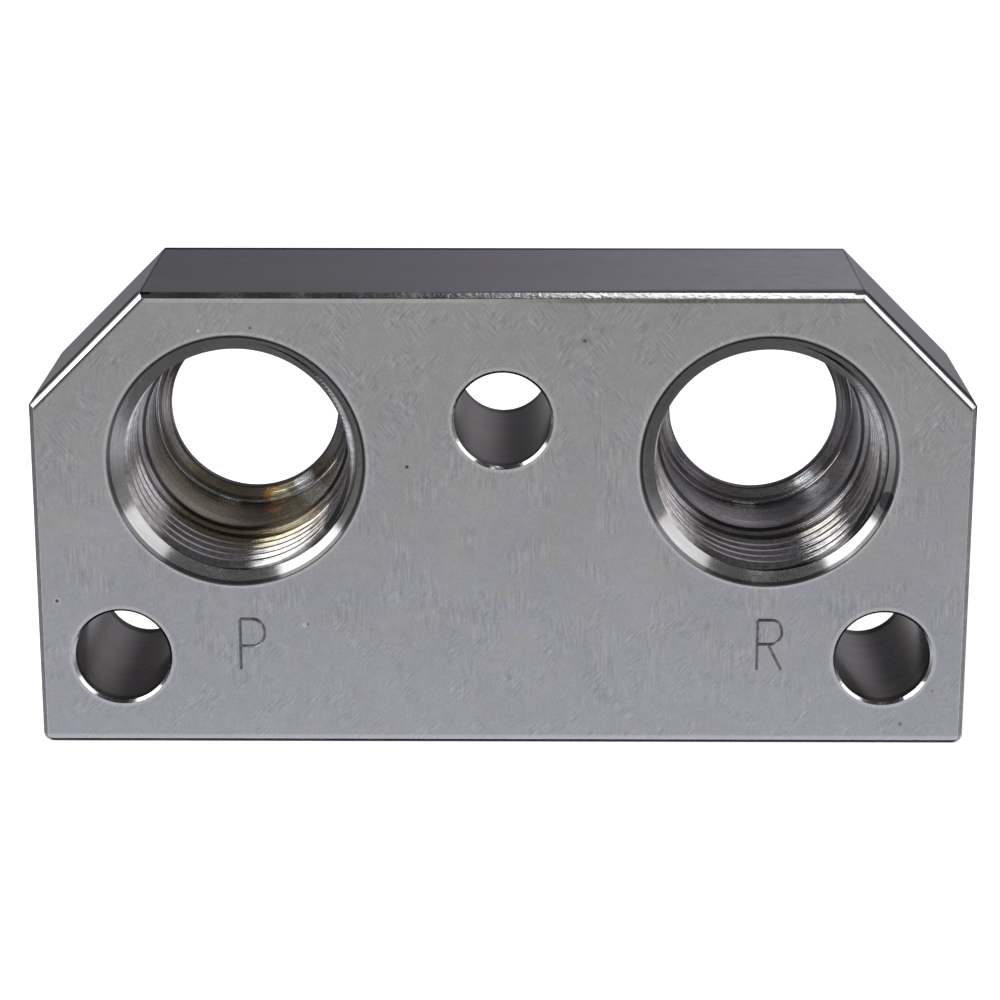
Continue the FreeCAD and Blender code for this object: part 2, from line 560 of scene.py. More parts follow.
@dataclass
class EndBlock:
    """The whole block, machined from its plate.

    Args:
        plan: the block's box and holes.
        letter_foot: height of the letters' feet above the bottom edge.
        letter_shift: how far left of its port's axis the R's stem stands.
    """

    plan: BlockPlan
    letter_foot: float = 8.95 * MM
    letter_shift: float = 0.85 * MM

    def machine(self, palette: dict[Finish, bpy.types.Material]) -> bpy.types.Object:
        """Cut the ports, threads, tie rod holes and letters.

        Args:
            palette: the material of each finish.

        Returns:
            The finished block, riding on the frame in place of its node.
        """
        plan, front = self.plan, self.plan.low.y
        thickness = plan.high.y - front
        work = Workpiece("end_block", Plate(plan.low, plan.high).solid(), palette)
        ports = [Port(plan.on_front(name), crest=plan.radius(name), thickness=thickness)
                 for name in ("port_left", "port_right")]
        work.cut([port.wall() for port in ports])
        work.cut([port.thread() for port in ports])
        holes = [TieHole(plan.on_front(name), segments=128, radius=plan.radius(name), thickness=thickness)
                 for name in ("tie_hole_left", "tie_hole_right", "tie_hole_top")]
        work.cut([hole.wall() for hole in holes])
        left, right = (port.axis.x for port in ports)
        letters = [
            PortLetter("P", Vector((left, front, self.letter_foot)), waist=0.46),
            PortLetter("R", Vector((right - self.letter_shift, front, self.letter_foot)), waist=0.52),
        ]
        for strokes in zip_longest(*(letter.strokes() for letter in letters)):
            work.cut([letter.groove_solid(stroke) for letter, stroke in zip(letters, strokes) if stroke])
        work.shade()
        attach(work.body, "root")
        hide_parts(NODE)
        return work.body


class Value:
    """A number, colour or vector that varies over a surface, with its maths written as expressions."""

    def __init__(self, tree: "Tree", socket: bpy.types.NodeSocket) -> None:
        """Wrap an output socket of a tree."""
        self.tree = tree
        self.socket = socket

    def __add__(self, other: "Value | float") -> "Value":
        """Add a number."""
        return self.tree.maths("ADD", self, other)

    def __sub__(self, other: "Value | float") -> "Value":
        """Subtract a number."""
        return self.tree.maths("SUBTRACT", self, other)

    def __rsub__(self, other: float) -> "Value":
        """Subtract this value from a number."""
        return self.tree.maths("SUBTRACT", other, self)

    def __mul__(self, other: "Value | float") -> "Value":
        """Multiply by a number."""
        return self.tree.maths("MULTIPLY", self, other)

    def __truediv__(self, other: "Value | float") -> "Value":
        """Divide by a number."""
        return self.tree.maths("DIVIDE", self, other)

    __radd__ = __add__
    __rmul__ = __mul__

    def size(self) -> "Value":
        """Give the value without its sign."""
        return self.tree.maths("ABSOLUTE", self)

    def blend(self, first: "Value | float", second: "Value | float") -> "Value":
        """Give the first number where this value is 0, the second where it is 1, and a blend between."""
        return self * (second - first) + first

    def ramp(self, start: float, end: float) -> "Value":
        """Rise smoothly from 0 to 1.

        Args:
            start: this value where the rise starts.
            end: this value where it ends, below start for a fall from 1 to 0.

        Returns:
            The smooth step.
        """
        low, high, first, last = (start, end, 0.0, 1.0) if start < end else (end, start, 1.0, 0.0)
        made = self.tree.node("ShaderNodeMapRange", {"interpolation_type": "SMOOTHSTEP"},
                              {"Value": self, "From Min": low, "From Max": high,
                               "To Min": first, "To Max": last})
        return Value(self.tree, made.outputs["Result"])


class Tree:
    """The nodes of one material or world."""

    def __init__(self, owner: bpy.types.Material | bpy.types.World) -> None:
        """Start an empty node tree.

        Args:
            owner: the material or world that the nodes belong to.
        """
        owner.use_nodes = True
        self.nodes = owner.node_tree.nodes
        self.links = owner.node_tree.links
        self.nodes.clear()

    def node(self, kind: str, settings: dict[str, object], inputs: dict[str | int, object]) -> bpy.types.Node:
        """Add one node.

        Args:
            kind: the node's type.
            settings: the node's own settings, set before its sockets.
            inputs: a number, colour, Value or shader socket for each socket, by name or number.

        Returns:
            The new node.
        """
        made = self.nodes.new(kind)
        for name, setting in settings.items():
            setattr(made, name, setting)
        for name, given in inputs.items():
            socket = made.inputs[name]
            if isinstance(given, Value):
                self.links.new(given.socket, socket)
            elif isinstance(given, bpy.types.NodeSocket):
                self.links.new(given, socket)
            else:
                socket.default_value = given
        return made

    def maths(self, operation: str, *numbers: Value | float) -> Value:
        """Add a Math node."""
        made = self.node("ShaderNodeMath", {"operation": operation}, dict(enumerate(numbers)))
        return Value(self, made.outputs[0])

    def vector(self, x: Value | float, y: Value | float, z: Value | float) -> Value:
        """Join three numbers to a vector."""
        made = self.node("ShaderNodeCombineXYZ", {}, {0: x, 1: y, 2: z})
        return Value(self, made.outputs[0])

    def distance(self, where: Value, point: Sequence[float]) -> Value:
        """Give the distance of a place from a point."""
        made = self.node("ShaderNodeVectorMath", {"operation": "DISTANCE"}, {0: where, 1: tuple(point)})
        return Value(self, made.outputs["Value"])

    def mix(self, share: Value | float, first: Value | Colour, second: Value | Colour) -> Value:
        """Mix two colours: all of the first at 0, all of the second at 1."""
        made = self.node("ShaderNodeMix", {"data_type": "RGBA"},
                         {0: share, 6: as_input(first), 7: as_input(second)})
        return Value(self, made.outputs[2])

    def tint(self, colour: Value | Colour, factor: Value) -> Value:
        """Multiply a colour by a number."""
        made = self.node("ShaderNodeVectorMath", {"operation": "SCALE"}, {0: colour, 3: factor})
        return Value(self, made.outputs[0])

    def place(self, output: str = "Object") -> tuple[Value, Value, Value]:
        """Give a texture coordinate.

        Args:
            output: which coordinate.

        Returns:
            Its X, Y and Z.
        """
        source = self.node("ShaderNodeTexCoord", {}, {})
        parts = self.node("ShaderNodeSeparateXYZ", {}, {0: source.outputs[output]})
        return tuple(Value(self, part) for part in parts.outputs)

    def noise(self, x: Value, y: Value, z: Value, detail: float = 1.0) -> Value:
        """Give smooth noise from 0 to 1 at a scaled place."""
        made = self.node("ShaderNodeTexNoise", {},
                         {"Vector": self.vector(x, y, z), "Scale": 1.0, "Detail": detail})
        return Value(self, made.outputs[0])

    def ripple(self, x: Value, y: Value, z: Value, detail: float = 1.0) -> Value:
        """Give smooth noise from -1 to 1 at a scaled place."""
        return self.noise(x, y, z, detail) * 2 - 1

    def bump(self, height: Value, distance: float, strength: float = 1.0) -> Value:
        """Turn a height from 0 to 1, which stands for a distance, into a normal."""
        made = self.node("ShaderNodeBump", {}, {"Height": height, "Strength": strength, "Distance": distance})
        return Value(self, made.outputs[0])

    def steel(self, colour: Value, roughness: Value, normal: Value, metallic: float = 1.0,
              painted_shade: Value | None = None) -> None:
        """Finish a material as bare metal.

        Args:
            colour: of the metal.
            roughness: of the metal.
            normal: of the surface.
            metallic: below 1, the metal lies under a thin film.
            painted_shade: how much of the metal a dark matte layer of painted shade hides, from 0 to 1, or
                None for no layer.
        """
        inputs = {"Base Color": colour, "Roughness": roughness, "Normal": normal, "Metallic": metallic}
        surface = self.node("ShaderNodeBsdfPrincipled", {}, inputs).outputs[0]
        if painted_shade is not None:
            # a dark matte layer that paints shade
            oil = self.node("ShaderNodeBsdfPrincipled", {}, {
                "Base Color": as_input(SHADE_BLACK), "Roughness": 0.9, "Specular IOR Level": 0.0}).outputs[0]
            surface = self.node("ShaderNodeMixShader", {}, {0: painted_shade, 1: surface, 2: oil}).outputs[0]
        self.node("ShaderNodeOutputMaterial", {}, {"Surface": surface})


def as_input(colour: Value | Colour) -> Value | tuple[float, float, float, float]:
    """Give a colour as a socket takes it."""
    return colour if isinstance(colour, Value) else (*colour, 1.0)


@dataclass(frozen=True)
class Steel:
    """One finish of the steel.

    Args:
        finish: the surfaces that have it.
    """

    finish: Finish

    def dress(self, tree: Tree) -> None:
        """Add the nodes of the finish to a tree."""
        raise NotImplementedError(self.finish)

    def make(self) -> bpy.types.Material:
        """Make the material.

        Returns:
            The finished material.
        """
        material = bpy.data.materials.new(self.finish.value)
        self.dress(Tree(material))
        return material


@dataclass(frozen=True)
class Mottle:
    """Soft blotches all over a surface.

    Args:
        size: of a blotch.
        seed: sets where the blotches fall.
        change: how much they change the light, as a share of it.
        rough: how much they change the roughness.
        detail: how much finer structure they have.
    """

    size: float
    seed: float
    change: float = 0.0
    rough: float = 0.0
    detail: float = 1.0

    def share(self, tree: Tree) -> Value:
        """Give the blotches from 0 to 1, mostly near a half."""
        x, y, z = tree.place()
        return tree.noise(x / self.size, y / self.size + self.seed, z / self.size, self.detail)

    def swing(self, tree: Tree) -> Value:
        """Give the blotches from -1 to 1, mostly near 0."""
        return self.share(tree) * 2 - 1


@dataclass(frozen=True)
class Streaks:
    """Fine drag lines on a flat face, in one direction.

    Args:
        lean: degrees that the lines lean to the left of upright, seen from the front.
        length: of a line.
        seed: sets where the lines fall.
        patch: size of the patches in which they show.
        middle: height above the bottom edge round which the patches lie.
        reach: how far above and below that height they lie.
        width: from one line to the next.
        sparse: the noise from which a patch starts, and that from which it is full.
    """

    lean: float
    length: float
    seed: float
    patch: float
    middle: float
    reach: float
    width: float = 0.22 * MM
    sparse: tuple[float, float] = (0.49, 0.64)

    def height(self, tree: Tree) -> Value:
        """Give the lines' relief.

        Args:
            tree: the material's nodes.

        Returns:
            The lines from -1 to 1, and about 0 between the patches.
        """
        x, y, z = tree.place()
        cosine, sine = math.cos(math.radians(self.lean)), math.sin(math.radians(self.lean))
        across = (x * cosine + z * sine) / self.width
        along = (z * cosine - x * sine) / self.length
        lines = tree.ripple(across, along, y / self.length + self.seed)
        patches = Mottle(self.patch, self.seed + 40, detail=0.0).share(tree).ramp(*self.sparse)
        near = ((z - self.middle) / self.reach).size().ramp(1.0, 0.4)
        return lines * patches * near


@dataclass(frozen=True)
class Spot:
    """A round spot of another colour: a pit, a speck, a patch of oil film, a painted highlight, a painted
    shade.

    Args:
        place: its middle.
        radius: where it ends.
        colour: of the spot.
        core: the share of the radius that has the full colour.
        strength: how much of the colour shows in its middle.
    """

    place: Sequence[float]
    radius: float
    colour: Colour
    core: float = 0.4
    strength: float = 0.85

    def over(self, tree: Tree, ground: Value) -> Value:
        """Lay the spot over a colour.

        Args:
            tree: the material's nodes.
            ground: the colour of the surface.

        Returns:
            The colour with the spot.
        """
        distance = tree.distance(tree.vector(*tree.place()), self.place)
        share = distance.ramp(self.radius, self.radius * self.core) * self.strength
        return tree.mix(share, ground, self.colour)


def wall_spot(axis: Vector, angle: float, radius: float, depth: float, size: float, colour: Colour,
              core: float = 0.3) -> Spot:
    """Give a spot on the wall of a hole, with its sizes in millimetres.

    Args:
        axis: where the hole's axis meets the front face.
        angle: degrees clockwise from the hole's right side, seen from the front.
        radius: the wall's radius about the axis.
        depth: of the spot behind the front face.
        size: radius at which the spot ends.
        colour: of the spot.
        core: the share of the size that has the full colour.

    Returns:
        The spot.
    """
    turn = math.radians(angle)
    place = axis + Vector((radius * math.cos(turn), depth, -radius * math.sin(turn))) * MM
    return Spot(place, size * MM, colour, core)


@dataclass(frozen=True)
class HighlightRing:
    """A painted highlight: a lighter ring on a face, close round a hole.

    Args:
        axis: where the hole's axis meets the front face.
        radius: the hole's radius at the face.
        width: of the ring.
    """

    axis: Vector
    radius: float
    width: float = 0.5 * MM

    def share(self, tree: Tree) -> Value:
        """Give the ring's share of the surface.

        Args:
            tree: the material's nodes.

        Returns:
            1 at the hole's edge, and 0 outside the ring.
        """
        x, _, z = tree.place()
        distance = tree.distance(tree.vector(x, 0.0, z), (self.axis.x, 0.0, self.axis.z))
        return distance.ramp(self.radius + self.width, self.radius + self.width / 2)


@dataclass(frozen=True)
class GroundSteel(Steel):
    """Front and back faces: ground flat, with crossed drag lines, a few pits, and painted highlight and shade
    at the front's edges and holes.

    Args:
        rings: the painted highlight rings round the holes.
        face: the front face's place behind the block's middle.
        height: of the block.
        corner_sum: distance from the middle plus height, at any point of a slanted edge.
        warm: the steel's colour in one kind of patch, and high up.
        cool: the steel's colour in the other kind of patch, and low down.
        roughness: of the ground surface.
        edge: width of the painted highlight along the upper and lower edges, with the edge break.
        painted_highlight_gain: how much lighter that painted highlight and the rings are.
        turns_dark: the stretch, to the right of the middle, where the upper line turns to painted shade.
        turned: what that line then is, as a multiple of what it was, dark below 0.
        slant_shade_width: width of the painted shade along the slanted edges, with the edge break.
        slant_shade_strength: how dark that painted shade is.
        drag: how much the drag lines change the light.
        drag_rough: how much they change the roughness.
        relief: height of the drag lines.
        lines: the drag lines.
        grain: the finest blotches.
        mottle: blotches of middle size.
        cloud: the widest blotches.
        patches: where the two colours lie.
        uneven: how much more warm colour there is at the top than at the bottom, as painted light colour.
        blended: the noise at which the warm colour ends, and that at which the cool one is full.
    """

    rings: tuple[HighlightRing, ...]
    face: float
    height: float
    corner_sum: float
    warm: Colour = (0.520, 0.508, 0.486)
    cool: Colour = (0.505, 0.503, 0.528)
    roughness: float = 0.38
    edge: float = 1.15 * MM
    painted_highlight_gain: float = 0.28
    turns_dark: tuple[float, float] = (-8.0 * MM, 16.0 * MM)
    turned: float = -1.8
    slant_shade_width: float = 1.0 * MM
    slant_shade_strength: float = 0.84
    drag: float = 0.34
    drag_rough: float = 0.08
    relief: float = 0.010 * MM
    lines: tuple[Streaks, ...] = (
        Streaks(1.0, 1.7 * MM, seed=3.0, patch=4.5 * MM, middle=24 * MM, reach=26 * MM),
        Streaks(38.0, 1.8 * MM, seed=11.0, patch=4.0 * MM, middle=46 * MM, reach=22 * MM),
        Streaks(-42.0, 1.4 * MM, seed=19.0, patch=3.2 * MM, middle=4 * MM, reach=20 * MM),
        Streaks(-35.0, 1.6 * MM, seed=27.0, patch=4.0 * MM, middle=44 * MM, reach=18 * MM, width=0.24 * MM),
    )
    grain: Mottle = Mottle(0.22 * MM, 5.0, change=0.16)
    mottle: Mottle = Mottle(1.1 * MM, 15.0, change=0.07)
    cloud: Mottle = Mottle(11.0 * MM, 8.0, change=0.10, rough=0.05)
    patches: Mottle = Mottle(4.0 * MM, 51.0, detail=3.0)
    uneven: float = 0.5
    blended: tuple[float, float] = (0.3, 0.7)

    def spots(self) -> list[Spot]:
        """Give the pits and specks of the front face.

        Returns:
            The spots, in the order in which they are laid.
        """
        # across, up and radius in millimetres, and the colour
        places = (
            (-50.15, 16.99, 0.55, (0.75, 0.75, 0.78)), (-50.15, 16.99, 0.32, (0.03, 0.03, 0.04)),
            (-10.60, 32.75, 0.30, (0.12, 0.03, 0.04)), (9.03, 47.13, 0.32, (0.12, 0.11, 0.15)),
            (-22.30, 14.20, 0.42, (0.70, 0.70, 0.74)), (-21.95, 14.30, 0.22, (0.20, 0.19, 0.24)),
            (-33.35, 48.18, 0.26, (0.95, 0.93, 0.90)), (-27.65, 48.53, 0.24, (0.30, 0.14, 0.13)),
            (48.69, 6.48, 0.24, (0.45, 0.22, 0.22)), (45.22, 2.48, 0.30, (0.20, 0.20, 0.22)),
        )
        return [Spot((across * MM, self.face, up * MM), radius * MM, colour)
                for across, up, radius, colour in places]

    def dress(self, tree: Tree) -> None:
        """Add the nodes of the finish.

        Args:
            tree: the material's nodes.
        """
        x, y, z = tree.place()
        lines = sum(streaks.height(tree) for streaks in self.lines)
        cloud = self.cloud.swing(tree)
        front = y.ramp(0.0, self.face)
        # painted shade along the slanted edges of the front face
        past_slant = (x.size() + z - self.corner_sum) / math.sqrt(2)
        slant = past_slant.ramp(-self.slant_shade_width, -self.slant_shade_width * 0.65) * front
        # painted highlight along the upper and lower edges and round the holes; at the right the upper line
        # turns to painted shade
        full = self.edge * 0.8
        bottom = z.ramp(self.edge, full)
        top = z.ramp(self.height - self.edge, self.height - full)
        top = top * x.ramp(*self.turns_dark).blend(1.0, self.turned) * (1.0 - slant)
        painted_highlight = (sum(ring.share(tree) for ring in self.rings) + bottom + top) * front
        grain = self.grain.swing(tree) * self.grain.change + self.mottle.swing(tree) * self.mottle.change
        brightness = 1.0 + lines * self.drag + grain + cloud * self.cloud.change + painted_highlight * self.painted_highlight_gain
        brightness = brightness * (1.0 - slant * self.slant_shade_strength)
        # the patches are the steel's own tone; their shift to warm at the top and cool at the bottom is
        # painted light colour
        patches = self.patches.share(tree) - (z / self.height - 0.5) * self.uneven
        colour = tree.tint(tree.mix(patches.ramp(*self.blended), self.warm, self.cool), brightness)
        for spot in self.spots():
            colour = spot.over(tree, colour)
        roughness = self.roughness + lines * self.drag_rough + cloud * self.cloud.rough
        tree.steel(colour, roughness, tree.bump(lines, self.relief, strength=0.6))


@dataclass(frozen=True)
class MilledSteel(Steel):
    """Top, shoulders, sides and bottom: milled along the edge, with fine feed lines.

    Args:
        half_width: of the block.
        height: of the block.
        corner: distance of the two upper corners from the middle.
        face: the front face's place behind the block's middle.
        colour: the steel's own colour.
        roughness: of the surface.
        line: from one feed line to the next.
        line_length: how far a feed line runs.
        feed: how much the feed lines change the light.
        relief: height of the feed lines.
        band: from one wide band to the next.
        band_length: how far a wide band runs.
        bands: how much the wide bands change the light.
        band_rough: how much they change the roughness.
        worn: painted light: how much lighter the right end of the top is than the left.
        painted_light_below: the same on the other sides, as a multiple of it.
        mottle: blotches towards the right, from handling.
        left_shade_reach: how far behind the front face painted shade reaches at the left end of the top.
        right_shade_reach: the same at the right end of the top.
        shoulder_shade_reach: the same on the shoulders.
        top_hidden: how much of the steel that painted shade hides on the top.
        slant_hidden: the same on the shoulders.
        side_share: how much of it is left on the two sides.
        back_line_width: width of the dark line along the back edge, with the edge break.
        back_hidden: how much of the steel it hides at the left and at the right end.
        back_below: how much of it is left on the other sides.
        crease: half the width of the painted shade at the two upper corners.
        crease_hidden: how much of the steel it hides.
    """

    half_width: float
    height: float
    corner: float
    face: float
    colour: Colour = (0.44, 0.435, 0.475)
    roughness: float = 0.34
    line: float = 0.3 * MM
    line_length: float = 14.0 * MM
    feed: float = 0.10
    relief: float = 0.003 * MM
    band: float = 3.5 * MM
    band_length: float = 30.0 * MM
    bands: float = 0.08
    band_rough: float = 0.05
    worn: float = 0.26
    painted_light_below: float = -0.9
    mottle: Mottle = Mottle(1.4 * MM, 14.0, change=0.35, rough=0.1, detail=3.0)
    left_shade_reach: float = 0.96 * MM
    right_shade_reach: float = 3.36 * MM
    shoulder_shade_reach: float = 5.04 * MM
    top_hidden: float = 0.77
    slant_hidden: float = 0.92
    side_share: float = 0.35
    back_line_width: float = 2.0 * MM
    back_hidden: tuple[float, float] = (0.80, 0.40)
    back_below: float = 0.25
    crease: float = 0.24 * MM
    crease_hidden: float = 0.5

    def painted_shade(self, x: Value, y: Value, below: Value, to_right: Value) -> Value:
        """Give the share of the steel hidden: painted shade by the front edge and at corners, a dark line at
        the back.

        Args:
            x: place to the right of the middle.
            y: place behind the middle.
            below: 0 on the top, and 1 on the other sides.
            to_right: rises from 0 to 1 towards the right.

        Returns:
            The share, from 0 to 1.
        """
        # painted shade behind the front edge and at the two upper corners; a dark line along the back edge
        reach = below.blend(to_right.blend(self.left_shade_reach, self.right_shade_reach), self.shoulder_shade_reach)
        side = x.size().ramp(self.half_width - 0.3 * MM, self.half_width - 0.1 * MM)
        front = ((y - self.face) / reach).ramp(1.0, 0.4) * below.blend(self.top_hidden, self.slant_hidden)
        front = front * side.blend(1.0, self.side_share)
        back = (y + self.face).ramp(-self.back_line_width, -self.back_line_width * 0.75)
        back = back * to_right.blend(*self.back_hidden) * below.blend(1.0, self.back_below)
        crease = (x.size() - self.corner).size().ramp(self.crease, self.crease / 3) * self.crease_hidden
        return 1.0 - (1.0 - front) * (1.0 - back) * (1.0 - crease)

    def dress(self, tree: Tree) -> None:
        """Add the nodes of the finish.

        Args:
            tree: the material's nodes.
        """
        x, y, z = tree.place()
        feed = tree.ripple(x / self.line_length, y / self.line, z / self.line_length, detail=3.0)
        bands = tree.ripple(x / self.band_length, y / self.band, z / self.band_length)
        below = z.ramp(self.height - 0.1 * MM, self.height - 0.6 * MM)
        to_right = x.ramp(-0.3 * self.half_width, 0.8 * self.half_width)
        mottle = self.mottle.swing(tree) * to_right
        # painted light: the top lighter and the other sides darker towards the right
        worn = to_right * below.blend(1.0, self.painted_light_below) * self.worn
        brightness = 1.0 + feed * self.feed + bands * self.bands + mottle * self.mottle.change + worn
        roughness = self.roughness + bands * self.band_rough + mottle * self.mottle.rough
        tree.steel(tree.tint(self.colour, brightness), roughness, tree.bump(feed, self.relief, strength=0.5),
                   painted_shade=self.painted_shade(x, y, below, to_right))


@dataclass(frozen=True)
class BrokenEdge(Steel):
    """Edge breaks and deburred rims, filed bright, with short chatter marks.

    Args:
        face: the front face's place behind the block's middle.
        half_width: of the block.
        corner_sum: distance from the middle plus height, at any point of a slanted edge.
        shade_free: how far behind the front face the slanted edges stay free of painted shade.
        oil: how dark the painted shade on the slanted edges is.
        side_dark: how much darker the edges of the two sides are, as painted shade.
        slant_begins: where, below the slanted edges, they begin.
        side_begins: where, inside the two sides, their edges begin.
        colour: the steel's own colour.
        roughness: of the surface.
        relief: height of the chatter marks.
        marks: the chatter marks.
        cloud: wide blotches.
    """

    face: float
    half_width: float
    corner_sum: float
    shade_free: float = 0.32 * MM
    oil: float = 0.93
    side_dark: float = 0.35
    slant_begins: Point = (-1.6 * MM, -1.1 * MM)
    side_begins: Point = (-0.6 * MM, -0.5 * MM)
    colour: Colour = (0.64, 0.64, 0.64)
    roughness: float = 0.17
    relief: float = 0.012 * MM
    marks: Mottle = Mottle(0.55 * MM, 61.0, change=0.25)
    cloud: Mottle = Mottle(4.0 * MM, 71.0, change=0.15, rough=0.08)

    def dress(self, tree: Tree) -> None:
        """Add the nodes of the finish.

        Args:
            tree: the material's nodes.
        """
        x, y, z = tree.place()
        marks, cloud = self.marks.swing(tree), self.cloud.swing(tree)
        # painted shade on the slanted edges behind the front and on the edges of the two sides
        slant = (x.size() + z - self.corner_sum).ramp(*self.slant_begins)
        oil = (y - self.face).ramp(self.shade_free, self.shade_free * 1.3) * slant * self.oil
        side = (x.size() - self.half_width).ramp(*self.side_begins) * self.side_dark
        brightness = 1.0 + marks * self.marks.change + cloud * self.cloud.change
        tree.steel(tree.tint(self.colour, brightness * (1.0 - oil) * (1.0 - side)),
                   self.roughness + cloud * self.cloud.rough, tree.bump(marks, self.relief, strength=0.6))


@dataclass(frozen=True)
class ToneRing:
    """A ring on the wall of a hole, in millimetres: painted shade where it is darker, a painted highlight
    where brighter.

    Args:
        start: its front edge, behind the front face.
        end: its back edge, behind the front face.
        change: how much darker it is, as a share of its light, or brighter where below 0.
        fade: width of its soft edges.
    """

    start: float
    end: float
    change: float
    fade: float = 0.08

    def light(self, depth: Value) -> Value:
        """Give the light at a depth behind the front face, as a multiple of the light without the ring."""
        start, end, fade = self.start * MM, self.end * MM, self.fade * MM
        return 1.0 - depth.ramp(start - fade, start) * depth.ramp(end + fade, end) * self.change


@dataclass(frozen=True)
class TurnedSteel(Steel):
    """Surfaces turned or drilled about an axis, with marks that run round it.

    Args:
        colour: the steel's own colour.
        roughness: of the surface between the marks.
        axis: where the right-hand one of the two axes meets the front face.
        mark: from one turning mark to the next.
        mark_length: how far a mark runs.
        relief: height of the marks.
        smear: height of the finest marks, which draw a reflection out along the wall.
        stain: colour of the oil film in patches.
        stained: how much of the film shows, from 0 to 1.
        change: how much the marks and the grain change the light, as a share of it.
        painted_shade: radius about the axis outside which painted shade darkens the grooves, or 0 for none.
        shade_edge: where, from that radius, the painted shade begins and is full.
        shade_dark: how dark it is.
        tones: the darker and brighter rings.
        spots: further spots of another colour.
        metallic: how far the surface is bare metal, from 0 to 1.
        grain: the blotches between the marks.
        film: where the oil film lies.
        film_edge: the noise from which the film starts, and that from which it is full.
    """

    colour: Colour
    roughness: float
    axis: Vector
    mark: float = 0.22 * MM
    mark_length: float = 14.0 * MM
    relief: float = 0.004 * MM
    smear: float = 0.004 * MM
    stain: Colour = (0.26, 0.20, 0.13)
    stained: float = 0.3
    change: float = 0.2
    painted_shade: float = 0.0
    shade_edge: Point = (-0.25 * MM, 0.15 * MM)
    shade_dark: float = 0.85
    tones: Sequence[ToneRing] = ()
    spots: Sequence[Spot] = ()
    metallic: float = 1.0
    grain: Mottle = Mottle(0.6 * MM, 21.0, rough=0.05)
    film: Mottle = Mottle(6.0 * MM, 33.0)
    film_edge: tuple[float, float] = (0.42, 0.68)

    def dress(self, tree: Tree) -> None:
        """Add the nodes of the finish.

        Args:
            tree: the material's nodes.
        """
        x, y, z = tree.place()
        radius = tree.distance(tree.vector(x.size(), 0.0, z), (self.axis.x, 0.0, self.axis.z))
        along = y - radius
        across, up = x / self.mark_length, z / self.mark_length
        marks = tree.ripple(across, along / self.mark, up)
        finest = tree.ripple(across, along / (0.4 * self.mark), up + 3, detail=0.0)
        bands = tree.ripple(across, along / (6 * self.mark), up + 7)
        grain = self.grain.swing(tree)
        film = self.film.share(tree).ramp(*self.film_edge) * self.stained
        colour = tree.mix(film, self.colour, self.stain)
        for spot in self.spots:
            colour = spot.over(tree, colour)
        brightness = 1.0 + (marks + bands + grain) * self.change
        # painted shade in the thread's grooves
        if self.painted_shade:
            brightness = brightness * (1.0 - (radius - self.painted_shade).ramp(*self.shade_edge) * self.shade_dark)
        for ring in self.tones:
            brightness = brightness * ring.light(y - self.axis.y)
        roughness = self.roughness + grain * self.grain.rough + bands * 0.04
        height = (marks + bands + grain * 0.3) * (self.relief / MM) + finest * (self.smear / MM)
        tree.steel(tree.tint(colour, brightness), roughness, tree.bump(height, MM), self.metallic)


@dataclass(frozen=True)
class StampedSteel(Steel):
    """The sides of the stamped strokes, a little darker than the face.

    Args:
        colour: the steel's own colour.
        roughness: of the surface.
        relief: height of the grain.
        grain: the blotches that the stamp left.
    """

    colour: Colour = (0.25, 0.25, 0.27)
    roughness: float = 0.42
    relief: float = 0.01 * MM
    grain: Mottle = Mottle(0.5 * MM, 3.0, change=0.9, rough=0.1, detail=3.0)

    def dress(self, tree: Tree) -> None:
        """Add the nodes of the finish.

        Args:
            tree: the material's nodes.
        """
        grain = self.grain.swing(tree)
        tree.steel(tree.tint(self.colour, 1.0 + grain * self.grain.change),
                   self.roughness + grain * self.grain.rough, tree.bump(grain, self.relief, strength=0.5))


